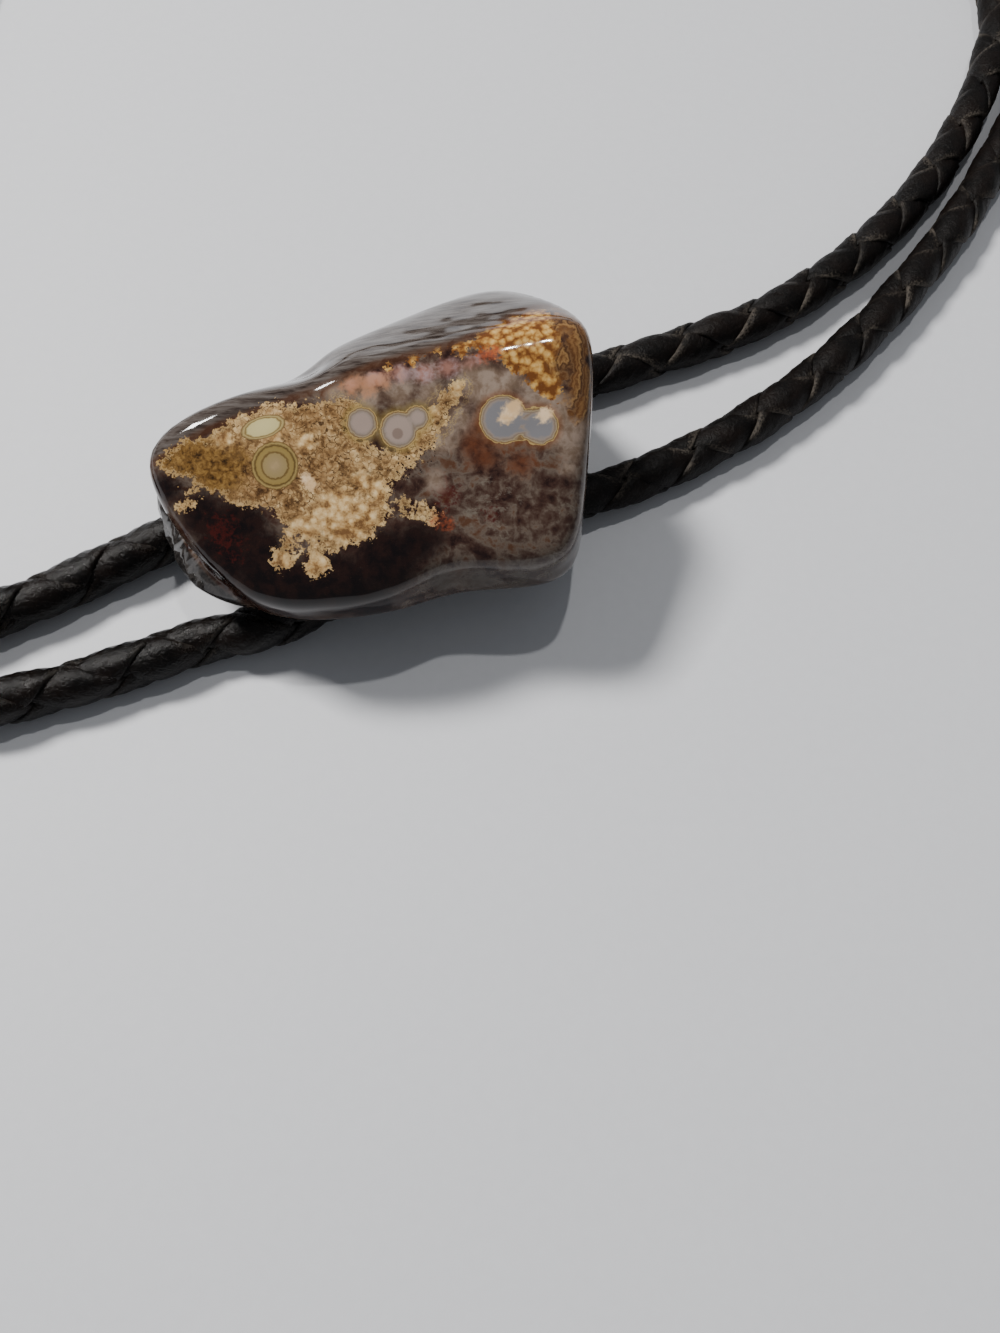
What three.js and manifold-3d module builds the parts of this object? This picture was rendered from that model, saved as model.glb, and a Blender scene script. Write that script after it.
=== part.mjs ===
// Bolo tie: a tumbled agate slide on a round braided leather cord, lying flat on a table.
// Millimetres, +Z up. X runs along the stone's length, the floor is z = 0, and the origin is
// the middle of the underside of the slide. Every solid is closed and stands 0.3 mm clear of
// its neighbours.
import * as THREE from 'three';
import { mergeVertices } from 'three/addons/utils/BufferGeometryUtils.js';
import Module from 'manifold-3d';

const wasm = await Module();
wasm.setup();

// ---- driving dimensions ----
const CORD_D = 4.5;
const CORD_R = CORD_D / 2;
const CORD_SIDES = 10;
const CORD_STEP = 11.2;                    // one tube step every two and a half diameters
const GAP = 0.3;                           // air between two pieces that touch

const WALL = 0.8;                          // floor and sides of the two cord tunnels
const PLATE_T = 1.0;
const CORD_IN_SLIDE_Z = WALL + GAP + CORD_R;
const PLATE_Z = CORD_IN_SLIDE_Z + CORD_R + GAP;
const STONE_BACK_Z = PLATE_Z + PLATE_T + GAP;

const SLIDE_TURN = THREE.MathUtils.degToRad(26);   // the cords cross the stone at a slant
const CORD_OFFSETS = { upper: 3.9, lower: -8.7 };  // of the two cords, across the slide
const TUNNEL_FROM = -1;                    // the tunnels' span along the cords
const TUNNEL_TO = 8;
const PLATE = { from: -8, to: 12, low: -12.05, high: 7.25, corner: 3.5 };

const TIP = { length: 28, mouth: 2.9, neck: 2.75, end: 1.9, nose: 1.5 };
const TIP_TAPER = 3.2;                     // the rounded nose, at the tip's far end
const TIP_LIFT = 0.1;

// The routes and the stone are laid out about the cords' crossing, this far from the origin.
const LAYOUT = new THREE.Vector3(-1.09, -0.21, 0);

// ---- stone: a rounded polyhedron. Each facet is azimuth, elevation, distance from CENTRE ----
const STONE_CENTRE = new THREE.Vector3(1, -2, 13);
const STONE_ROUNDNESS = 10;                // higher is crisper
const STONE_DETAIL = 11;
const STONE_FACETS = {
  front: [-88, 65, 5.8],
  back: [110, 58, 8.3],
  right: [-6, 4, 18.2],
  right_back: [44, 12, 21.0],
  rear: [95, 5, 18.6],
  rear_left: [126, 12, 10.1],
  front_right: [-80, -8, 14.0],
  front_left: [-100, -8, 18.2],
  corner: [-128, 2, 18.2],
  left: [-154, 0, 20.2],
  tip: [180, 10, 21.0],
  under_left: [-150, -42, 17.5],
  bottom: [0, -90, 6.8],
};
// soft hollows: azimuth, elevation, angular width, depth as a share of the radius
const STONE_HOLLOWS = {
  dip: [142, 26, 17, 0.10],
  strip: [160, 36, 22, 0.08],
  waist: [-58, -6, 20, 0.13],
};

// ---- cord routes: points on the centreline, x, y, z ----
const FLOOR = CORD_R + 0.06;               // the centreline's height where the cord lies flat
const IN_SLIDE = CORD_IN_SLIDE_Z;
const TIP_Z = TIP.mouth + TIP_LIFT;
const along = (u, side, z) => {
  const v = CORD_OFFSETS[side];
  const c = Math.cos(SLIDE_TURN);
  const s = Math.sin(SLIDE_TURN);
  return [u * c - v * s, u * s + v * c, z];
};

const NECK_LOOP = [
  along(0.15, 'upper', IN_SLIDE), along(5, 'upper', IN_SLIDE), along(11, 'upper', IN_SLIDE),
  [18.0, 13.1, 2.7], [27, 17, FLOOR], [40.1, 23, FLOOR], [51.3, 31.6, FLOOR],
  [60.5, 42, FLOOR], [67, 52.2, FLOOR], [71.9, 62.4, FLOOR], [75, 73, FLOOR],
  [74, 85, FLOOR], [66, 94.5, FLOOR], [53, 98.5, FLOOR], [30, 99, FLOOR], [4, 98.5, FLOOR],
  [-20, 98, FLOOR], [-38, 95, FLOOR], [-50, 85, FLOOR], [-54.5, 70, FLOOR], [-51, 45, FLOOR],
  [-46, 20, FLOOR], [-44, 5, FLOOR], [-49, -5, FLOOR], [-58, -5.5, FLOOR], [-65, 4, FLOOR],
  [-66, 20, FLOOR], [-66, 48, FLOOR], [-65.5, 76, FLOOR], [-59, 96, FLOOR],
  [-43, 108, FLOOR], [-15, 110.5, FLOOR], [20, 110.5, FLOOR], [50, 109, FLOOR],
  [70, 102, FLOOR], [80, 88, FLOOR], [80.5, 74, FLOOR], [77, 60.5, FLOOR],
  [70.9, 48.5, FLOOR], [62, 34.6, FLOOR], [49.7, 19.8, FLOOR], [38.2, 9.8, FLOOR],
  [26.2, 2.6, FLOOR], along(16, 'lower', 2.85), along(11, 'lower', IN_SLIDE),
  along(5, 'lower', IN_SLIDE), along(0.15, 'lower', IN_SLIDE),
];

const END_A = [
  along(-0.15, 'upper', IN_SLIDE), along(-5, 'upper', IN_SLIDE), along(-11, 'upper', IN_SLIDE),
  along(-17, 'upper', 2.75), [-23.9, -7.6, FLOOR], [-28.6, -10.4, 2.3], [-34, -13.3, 2.6],
  [-39.3, -15.3, TIP_Z],
];
const END_B = [
  along(-0.15, 'lower', IN_SLIDE), along(-4, 'lower', IN_SLIDE), along(-8, 'lower', IN_SLIDE),
  along(-14, 'lower', 2.75), [-16, -16.0, FLOOR], [-21.6, -18.3, FLOOR], [-27.1, -20.3, 2.3],
  [-32.6, -22, 2.6], [-38.4, -23.4, TIP_Z],
];
const TIP_HEADING = { a: [-0.966, -0.25], b: [-0.971, -0.235] };

// ---- materials ----
const material = (color, roughness, metalness) =>
  new THREE.MeshStandardMaterial({ color, roughness, metalness });
const agate = () => material(0x8a6a4c, 0.15, 0);
const leather = () => material(0x1d1613, 0.45, 0);
const steel = () => material(0xb9bcc0, 0.3, 1);

// ---- helpers ----
const toSolid = (geometry) => {
  const bare = geometry.clone();
  bare.deleteAttribute('normal');
  bare.deleteAttribute('uv');
  const merged = mergeVertices(bare, 1e-5);
  return new wasm.Manifold(new wasm.Mesh({
    numProp: 3,
    vertProperties: new Float32Array(merged.attributes.position.array),
    triVerts: new Uint32Array(merged.index.array),
  }));
};

const toGeometry = (solid) => {
  const mesh = solid.getMesh();
  const geometry = new THREE.BufferGeometry();
  geometry.setAttribute('position', new THREE.BufferAttribute(mesh.vertProperties, 3));
  geometry.setIndex(new THREE.BufferAttribute(mesh.triVerts, 1));
  geometry.computeVertexNormals();
  return geometry;
};

const direction = (azimuth, elevation) => {
  const a = THREE.MathUtils.degToRad(azimuth);
  const e = THREE.MathUtils.degToRad(elevation);
  return new THREE.Vector3(Math.cos(e) * Math.cos(a), Math.cos(e) * Math.sin(a), Math.sin(e));
};

// ---- stone ----
const stoneRadius = (ray) => {
  let sum = 0;
  for (const [azimuth, elevation, distance] of Object.values(STONE_FACETS)) {
    const towards = Math.max(0, ray.dot(direction(azimuth, elevation))) / distance;
    sum += towards ** STONE_ROUNDNESS;
  }
  let radius = sum ** (-1 / STONE_ROUNDNESS);
  for (const [azimuth, elevation, width, depth] of Object.values(STONE_HOLLOWS)) {
    const apart = THREE.MathUtils.radToDeg(ray.angleTo(direction(azimuth, elevation)));
    radius *= 1 - depth * Math.exp(-((apart / width) ** 2));
  }
  return radius;
};

const makeStone = () => {
  const ball = new THREE.IcosahedronGeometry(1, STONE_DETAIL);
  const place = ball.attributes.position;
  const point = new THREE.Vector3();
  for (let i = 0; i < place.count; i += 1) {
    point.fromBufferAttribute(place, i).normalize();
    point.multiplyScalar(stoneRadius(point)).add(STONE_CENTRE);
    place.setXYZ(i, point.x, point.y, point.z);
  }
  return toGeometry(toSolid(ball).trimByPlane([0, 0, 1], STONE_BACK_Z));
};

// ---- slide back: one plate with a tunnel for each cord ----
const plateOutline = () => {
  const { from, to, low, high, corner } = PLATE;
  const shape = new THREE.Shape();
  shape.moveTo(from + corner, low);
  shape.lineTo(to - corner, low);
  shape.absarc(to - corner, low + corner, corner, -Math.PI / 2, 0);
  shape.absarc(to - corner, high - corner, corner, 0, Math.PI / 2);
  shape.absarc(from + corner, high - corner, corner, Math.PI / 2, Math.PI);
  shape.absarc(from + corner, low + corner, corner, Math.PI, Math.PI * 1.5);
  return shape;
};

const makeSlideBack = () => {
  const plate = new THREE.ExtrudeGeometry(plateOutline(), {
    depth: PLATE_T, bevelEnabled: false, curveSegments: 8,
  });
  plate.translate(0, 0, PLATE_Z);
  let back = toSolid(plate);
  const length = TUNNEL_TO - TUNNEL_FROM;
  const width = CORD_D + 2 * (GAP + WALL);
  const height = PLATE_Z + PLATE_T / 2;
  const middle = (TUNNEL_FROM + TUNNEL_TO) / 2;
  for (const offset of Object.values(CORD_OFFSETS)) {
    const block = new THREE.BoxGeometry(length, width, height);
    block.translate(middle, offset, height / 2);
    const bore = new THREE.CylinderGeometry(CORD_R + GAP, CORD_R + GAP, length + 4, 32);
    bore.rotateZ(Math.PI / 2);
    bore.translate(middle, offset, CORD_IN_SLIDE_Z);
    back = back.add(toSolid(block)).subtract(toSolid(bore));
  }
  const geometry = toGeometry(back);
  geometry.rotateZ(SLIDE_TURN);
  return geometry;
};

// ---- cords ----
const makeCord = (points) => {
  const route = new THREE.CatmullRomCurve3(points.map((p) => new THREE.Vector3(...p)));
  const section = new THREE.Shape();
  section.absarc(0, 0, CORD_R, 0, Math.PI * 2);
  return new THREE.ExtrudeGeometry(section, {
    curveSegments: CORD_SIDES / 2,
    steps: Math.max(3, Math.round(route.getLength() / CORD_STEP)),
    extrudePath: route,
    bevelEnabled: false,
  });
};

// ---- tips: a turned ferrule that lies on the floor, its mouth facing the cord's end ----
const makeTip = () => {
  const { length, mouth, neck, end, nose } = TIP;
  const profile = [
    [0, 0], [mouth, 0], [mouth, 1.6], [neck, 2.1], [end, length - TIP_TAPER],
    [nose, length - 1.4], [nose * 0.55, length - 0.4], [0, length],
  ];
  return new THREE.LatheGeometry(profile.map(([x, y]) => new THREE.Vector2(x, y)), 20);
};

const placeTip = (mesh, cordPoints, heading) => {
  const start = new THREE.Vector3(...cordPoints.at(-1));
  const drop = (TIP.end - TIP.mouth) / (TIP.length - TIP_TAPER);
  const axis = new THREE.Vector3(heading[0], heading[1], drop).normalize();
  mesh.quaternion.setFromUnitVectors(new THREE.Vector3(0, 1, 0), axis);
  mesh.position.copy(start).addScaledVector(axis, GAP);
};

// ---- assembly ----
const boloTie = new THREE.Group();
boloTie.position.copy(LAYOUT);
const addPiece = (name, geometry, finish) => {
  const mesh = new THREE.Mesh(geometry, finish);
  mesh.name = name;
  boloTie.add(mesh);
  return mesh;
};

addPiece('stone', makeStone(), agate());
addPiece('slide_back', makeSlideBack(), steel());
addPiece('cord_neck_loop', makeCord(NECK_LOOP), leather());
addPiece('cord_end_a', makeCord(END_A), leather());
addPiece('cord_end_b', makeCord(END_B), leather());
placeTip(addPiece('tip_a', makeTip(), steel()), END_A, TIP_HEADING.a);
placeTip(addPiece('tip_b', makeTip(), steel()), END_B, TIP_HEADING.b);

export default boloTie;
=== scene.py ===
"""Bolo tie: a polished agate slide on a four-strand braided leather cord, lying on a pale surface."""
import math

import bpy
import numpy as np
from mathutils import Matrix, Vector


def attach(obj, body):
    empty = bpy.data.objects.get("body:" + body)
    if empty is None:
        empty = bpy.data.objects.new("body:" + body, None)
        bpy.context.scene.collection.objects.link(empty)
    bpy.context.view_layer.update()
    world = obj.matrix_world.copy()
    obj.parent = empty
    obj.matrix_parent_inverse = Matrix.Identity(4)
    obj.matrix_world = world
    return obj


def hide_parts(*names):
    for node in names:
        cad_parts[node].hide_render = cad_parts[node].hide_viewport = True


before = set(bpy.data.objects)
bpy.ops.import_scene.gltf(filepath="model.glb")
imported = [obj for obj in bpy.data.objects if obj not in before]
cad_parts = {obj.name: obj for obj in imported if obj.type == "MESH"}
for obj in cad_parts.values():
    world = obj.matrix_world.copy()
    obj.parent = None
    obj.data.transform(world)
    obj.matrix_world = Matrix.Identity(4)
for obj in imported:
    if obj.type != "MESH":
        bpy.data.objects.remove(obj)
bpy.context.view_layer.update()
MM = 0.001

# ---- driving dimensions, in metres ----
CORD_D = 0.0045
CORD_R = CORD_D / 2
IN_SLIDE = 0.00335          # height of the cord's middle inside the slide back
FLOOR = CORD_R + 0.00006    # and where it lies on the surface
TIP_Z = 0.0030
SLIDE_TURN = math.radians(26)
CORD_OFFSETS = {"upper": 0.0039, "lower": -0.0087}
LAYOUT = np.array([-0.00109, -0.00021, 0.0])   # from the routes' own origin to the row's
STONE_BACK_Z = 0.0072


# ---- cord routes, as in the CAD ----
def along(u, side, z):
    v = CORD_OFFSETS[side]
    c, s = math.cos(SLIDE_TURN), math.sin(SLIDE_TURN)
    return (u * c - v * s, u * s + v * c, z)


NECK_LOOP = [
    along(0.00015, "upper", IN_SLIDE), along(0.005, "upper", IN_SLIDE),
    along(0.011, "upper", IN_SLIDE), (0.018, 0.0131, 0.0027), (0.027, 0.017, FLOOR),
    (0.0401, 0.023, FLOOR), (0.0513, 0.0316, FLOOR), (0.0605, 0.042, FLOOR),
    (0.067, 0.0522, FLOOR), (0.0719, 0.0624, FLOOR), (0.075, 0.073, FLOOR),
    (0.074, 0.085, FLOOR), (0.066, 0.0945, FLOOR), (0.053, 0.0985, FLOOR),
    (0.03, 0.099, FLOOR), (0.004, 0.0985, FLOOR), (-0.02, 0.098, FLOOR),
    (-0.038, 0.095, FLOOR), (-0.05, 0.085, FLOOR), (-0.0545, 0.07, FLOOR),
    (-0.051, 0.045, FLOOR), (-0.046, 0.02, FLOOR), (-0.044, 0.005, FLOOR),
    (-0.049, -0.005, FLOOR), (-0.058, -0.0055, FLOOR), (-0.065, 0.004, FLOOR),
    (-0.066, 0.02, FLOOR), (-0.066, 0.048, FLOOR), (-0.0655, 0.076, FLOOR),
    (-0.059, 0.096, FLOOR), (-0.043, 0.108, FLOOR), (-0.015, 0.1105, FLOOR),
    (0.02, 0.1105, FLOOR), (0.05, 0.109, FLOOR), (0.07, 0.102, FLOOR),
    (0.08, 0.088, FLOOR), (0.0805, 0.074, FLOOR), (0.077, 0.0605, FLOOR),
    (0.0709, 0.0485, FLOOR), (0.062, 0.0346, FLOOR), (0.0497, 0.0198, FLOOR),
    (0.0382, 0.0098, FLOOR), (0.0262, 0.0026, FLOOR), along(0.016, "lower", 0.00285),
    along(0.011, "lower", IN_SLIDE), along(0.005, "lower", IN_SLIDE),
    along(0.00015, "lower", IN_SLIDE),
]
END_A = [
    along(-0.00015, "upper", IN_SLIDE), along(-0.005, "upper", IN_SLIDE),
    along(-0.011, "upper", IN_SLIDE), along(-0.017, "upper", 0.00275),
    (-0.0239, -0.0076, FLOOR), (-0.0286, -0.0104, 0.0023), (-0.034, -0.0133, 0.0026),
    (-0.0393, -0.0153, TIP_Z),
]
END_B = [
    along(-0.00015, "lower", IN_SLIDE), along(-0.004, "lower", IN_SLIDE),
    along(-0.008, "lower", IN_SLIDE), along(-0.014, "lower", 0.00275),
    (-0.016, -0.016, FLOOR), (-0.0216, -0.0183, FLOOR), (-0.0271, -0.0203, 0.0023),
    (-0.0326, -0.022, 0.0026), (-0.0384, -0.0234, TIP_Z),
]
TIP_HEADING = {"a": (-0.966, -0.25), "b": (-0.971, -0.235)}


# ---- camera: low over the table, tilted 22 degrees from straight down ----
CAMERA_PLACE = Vector((0.00801, -0.05211, 0.0873))
CAMERA_TILT = math.radians(21.87)
CAMERA_ROLL = 0.087
CAMERA_LENS = 27.03


def make_camera():
    t, r = CAMERA_TILT, CAMERA_ROLL
    up = Vector((math.sin(t) * math.sin(r), math.sin(t) * math.cos(r), math.cos(t)))
    right = Vector((1, 0, 0)) - up * up.x
    right.normalize()
    away = up.cross(right)
    data = bpy.data.cameras.new("camera")
    data.sensor_width = 36
    data.lens = CAMERA_LENS
    data.clip_start = 0.005
    camera = bpy.data.objects.new("camera", data)
    bpy.context.collection.objects.link(camera)
    camera.matrix_world = Matrix.Translation(CAMERA_PLACE) @ Matrix((right, away, up)).to_4x4()
    bpy.context.scene.camera = camera


make_camera()


# ---- meshes ----
def mesh_piece(name, points, faces, attributes=None, smooth=True):
    mesh = bpy.data.meshes.new(name)
    mesh.from_pydata([tuple(p) for p in points], [], faces)
    for key, values in (attributes or {}).items():
        layer = mesh.attributes.new(key, "FLOAT", "POINT")
        layer.data.foreach_set("value", np.asarray(values, np.float32))
    mesh.polygons.foreach_set("use_smooth", [smooth] * len(mesh.polygons))
    mesh.update()
    piece = bpy.data.objects.new(name, mesh)
    bpy.context.collection.objects.link(piece)
    return piece


def spline(points, step=0.00025):
    """A centripetal Catmull-Rom curve through the points, at even steps."""
    p = np.array(points) + LAYOUT
    p = np.vstack([2 * p[0] - p[1], p, 2 * p[-1] - p[-2]])
    line = []
    for a, b, c, d in zip(p[:-3], p[1:-2], p[2:-1], p[3:]):
        t = np.cumsum([0] + [np.linalg.norm(y - x) ** 0.5 for x, y in ((a, b), (b, c), (c, d))])
        m1 = (t[2] - t[1]) * ((b - a) / t[1] - (c - a) / t[2] + (c - b) / (t[2] - t[1]))
        m2 = (t[2] - t[1]) * (
            (c - b) / (t[2] - t[1]) - (d - b) / (t[3] - t[1]) + (d - c) / (t[3] - t[2])
        )
        s = np.linspace(0, 1, 48, endpoint=False)[:, None]
        line.append(
            (2 * s**3 - 3 * s**2 + 1) * b + (s**3 - 2 * s**2 + s) * m1
            + (3 * s**2 - 2 * s**3) * c + (s**3 - s**2) * m2
        )
    line = np.vstack(line + [p[-2:-1]])
    run = np.concatenate([[0], np.cumsum(np.linalg.norm(np.diff(line, axis=0), axis=1))])
    even = np.linspace(0, run[-1], int(run[-1] / step) + 1)
    return np.stack([np.interp(even, run, line[:, k]) for k in range(3)], 1), even


def side_frames(line):
    """Two unit vectors across the line at each point: level and upright."""
    tangent = np.gradient(line, axis=0)
    tangent /= np.linalg.norm(tangent, axis=1)[:, None]
    level = np.cross([0, 0, 1.0], tangent)
    level /= np.linalg.norm(level, axis=1)[:, None]
    return level, np.cross(tangent, level)


# ---- four-strand round braid ----
BRAID = {
    "lay": 0.0160,       # one full turn of a strand
    "middle": 0.00150,   # mean radius of a strand's centreline
    "swing": 0.00028,    # and how far it goes out over, and in under, the others
    "width": 0.0047,
    "thick": 0.00092,
    "step": 0.0005,
}
LACE_SECTION = [   # share of half the width, share of half the thickness
    (1.0, 0.0), (0.975, 0.55), (0.90, 0.84), (0.55, 0.97), (0.0, 1.0), (-0.55, 0.97),
    (-0.90, 0.84), (-0.975, 0.55), (-1.0, 0.0), (-0.8, -0.7), (0.0, -1.0), (0.8, -0.7),
]


def strand(line, run, level, upright, way, start, phase):
    """One lace of the braid, wrapped on a cylinder about the line. way is +1 or -1."""
    total = run[-1]
    s = np.linspace(0, total, int(total / BRAID["step"]) + 1)[:, None]
    turn = 2 * math.pi / BRAID["lay"]
    slant = math.atan(turn * 0.0020)
    flat, high = np.array(LACE_SECTION).T
    wide = 1 + 0.035 * np.sin(s * 431 + start + way) + 0.02 * np.sin(s * 1730 + 2 * start)
    across = flat[None] * BRAID["width"] / 2 * wide
    rise = high[None] * BRAID["thick"] / 2
    radius = BRAID["middle"] + way * BRAID["swing"] * np.cos(2 * turn * s)
    lean = 0.10 * flat[None] * way * np.sin(2 * turn * s) * BRAID["thick"]
    wobble = 0.00004 * np.sin(s * 517 + start * 2.3) + 0.00003 * np.sin(s * 1291 + way)
    axial = np.clip(s - way * across * math.sin(slant), 0, total)
    angle = way * turn * s + start + phase + across * math.cos(slant) / (radius + 0.00045)
    reach = np.minimum(radius + rise + lean + wobble, CORD_R * 1.02)
    at = [np.interp(axial, run, line[:, k]) for k in range(3)]
    lv = [np.interp(axial, run, level[:, k]) for k in range(3)]
    up = [np.interp(axial, run, upright[:, k]) for k in range(3)]
    points = np.stack(
        [at[k] + reach * (np.cos(angle) * lv[k] + np.sin(angle) * up[k]) for k in range(3)], -1
    )
    rings, sides = points.shape[:2]
    faces = [
        (i * sides + j, i * sides + (j + 1) % sides, (i + 1) * sides + (j + 1) % sides,
         (i + 1) * sides + j)
        for i in range(rings - 1)
        for j in range(sides)
    ]
    faces += [tuple(range(sides))[::-1], tuple((rings - 1) * sides + j for j in range(sides))]
    lace = {
        "lace_run": np.broadcast_to(s + start * 0.03 + way * 0.2, (rings, sides)),
        "lace_across": np.broadcast_to(flat[None], (rings, sides)),
        "lace_out": np.broadcast_to(high[None], (rings, sides)),
        "cord_reach": reach / CORD_R,
    }
    return points.reshape(-1, 3), faces, {k: np.asarray(v).ravel() for k, v in lace.items()}


def braided_cord(name, route, phase):
    line, run = spline(route)
    level, upright = side_frames(line)
    points, faces, attributes = [], [], {}
    count = 0
    for way in (1, -1):
        for start in (0.0, math.pi):
            p, f, a = strand(line, run, level, upright, way, start, phase)
            points.append(p)
            faces += [tuple(i + count for i in face) for face in f]
            for key, values in a.items():
                attributes.setdefault(key, []).append(values)
            count += len(p)
    piece = mesh_piece(
        name, np.vstack(points), faces, {k: np.concatenate(v) for k, v in attributes.items()}
    )
    piece.data.validate()
    return piece, line, float(run[-1])


# ---- tips: turned ferrules with a rolled mouth ----
TIP_LENGTH = 0.028
TIP_MOUTH = 0.0029
TIP_END = 0.0019
TIP_TAPER = 0.0032


def tip_profile():
    """Distance along the tip and radius, from the mouth to the nose."""
    rows = [(0.0, 0.0), (0.0, 0.00215), (0.00012, 0.00262)]
    rows += [
        (0.0008 - 0.0008 * math.cos(a), 0.0026 + 0.0003 * math.sin(a))
        for a in np.linspace(0.25, math.pi - 0.2, 7)
    ]
    rows += [(0.0017, 0.00252), (0.0021, 0.00250)]
    body = np.linspace(0.0023, TIP_LENGTH - TIP_TAPER, 14)
    rows += [(x, np.interp(x, (0.0023, TIP_LENGTH - TIP_TAPER), (0.00268, TIP_END))) for x in body]
    for groove in (0.0034, 0.0044):
        rows += [(groove - 0.00015, None), (groove, -0.00014), (groove + 0.00015, None)]
    nose = TIP_LENGTH - TIP_TAPER
    for a in np.linspace(0.12, 1, 9):
        rows.append((nose + TIP_TAPER * a, TIP_END * math.sqrt(max(0.0, 1 - a**2.2))))
    slope = lambda x: np.interp(x, (0.0023, nose), (0.00268, TIP_END))
    rows = [(x, slope(x) if r is None else slope(x) + r if r < 0 else r) for x, r in rows]
    return sorted(rows[:-9], key=lambda row: row[0]) + rows[-9:]


def make_tip(key, route, sides=48):
    """The tip of one free end, lying on the surface, its mouth on the end of the cord."""
    profile = tip_profile()
    heading = TIP_HEADING[key]
    drop = (TIP_END - TIP_MOUTH) / (TIP_LENGTH - TIP_TAPER)
    axis = Vector((*heading, drop)).normalized()
    level = axis.cross(Vector((0, 0, 1))).normalized()
    upright = level.cross(axis)
    start = Vector(np.array(route[-1]) + LAYOUT) + axis * 0.0003
    points, faces = [start], []
    for x, radius in profile[1:-1]:
        for j in range(sides):
            a = 2 * math.pi * j / sides
            points.append(start + axis * x + (level * math.cos(a) + upright * math.sin(a)) * radius)
    points.append(start + axis * profile[-1][0])
    rings = len(profile) - 2
    for j in range(sides):
        k = (j + 1) % sides
        faces.append((0, 1 + j, 1 + k))
        faces.append((len(points) - 1, 1 + (rings - 1) * sides + k, 1 + (rings - 1) * sides + j))
        for i in range(rings - 1):
            a, b = 1 + i * sides, 1 + (i + 1) * sides
            faces.append((a + j, b + j, b + k, a + k))
    return mesh_piece(f"tip_{key}_ferrule", points, faces)


# ---- stone: the CAD's rounded polyhedron, finely meshed ----
STONE_CENTRE = np.array([0.001, -0.002, 0.013])
STONE_ROUNDNESS = 10
STONE_FACETS = {   # azimuth, elevation, distance in mm
    "front": (-88, 65, 5.8),
    "back": (110, 58, 8.3),
    "right": (-6, 4, 18.2),
    "right_back": (44, 12, 21.0),
    "rear": (95, 5, 18.6),
    "rear_left": (126, 12, 10.1),
    "front_right": (-80, -8, 14.0),
    "front_left": (-100, -8, 18.2),
    "corner": (-128, 2, 18.2),
    "left": (-154, 0, 20.2),
    "tip": (180, 10, 21.0),
    "under_left": (-150, -42, 17.5),
    "bottom": (0, -90, 6.8),
}
STONE_HOLLOWS = {   # azimuth, elevation, angular width, depth as a share of the radius
    "dip": (142, 26, 17, 0.10),
    "strip": (160, 36, 22, 0.08),
    "waist": (-58, -6, 20, 0.13),
}


LEDGE = {"azimuth": -158, "reach": 25, "top": -9, "out": 1.9, "groove": 0.6}   # degrees, mm


def direction(azimuth, elevation):
    a, e = math.radians(azimuth), math.radians(elevation)
    return np.array([math.cos(e) * math.cos(a), math.cos(e) * math.sin(a), math.sin(e)])


def stone_radius(rays):
    total = np.zeros(len(rays))
    for azimuth, elevation, distance in STONE_FACETS.values():
        total += (np.maximum(0, rays @ direction(azimuth, elevation)) / distance) ** STONE_ROUNDNESS
    radius = total ** (-1 / STONE_ROUNDNESS)
    for azimuth, elevation, width, depth in STONE_HOLLOWS.values():
        apart = np.degrees(np.arccos(np.clip(rays @ direction(azimuth, elevation), -1, 1)))
        radius *= 1 - depth * np.exp(-((apart / width) ** 2))
    return (radius + ledge_height(rays)) * MM


def ledge_height(rays):
    """A broken ledge under the left end, with a groove above it, in mm. The material paints the groove dark as
    shade.
    """
    azimuth = np.degrees(np.arctan2(rays[:, 1], rays[:, 0]))
    elevation = np.degrees(np.arcsin(rays[:, 2]))
    edge = LEDGE["top"] + 1.8 * np.sin(np.radians(azimuth * 7))
    sideways = np.abs((azimuth - LEDGE["azimuth"] + 180) % 360 - 180) / LEDGE["reach"]
    share = np.clip(1.3 - sideways**2, 0, 1)
    below = np.clip((edge - elevation) / 3.0, 0, 1)
    lower = np.clip((elevation + 55) / 25, 0, 1)
    groove = np.exp(-(((elevation - edge - 1.5) / 2.2) ** 2))
    return share * (LEDGE["out"] * below * lower - LEDGE["groove"] * groove)
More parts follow.
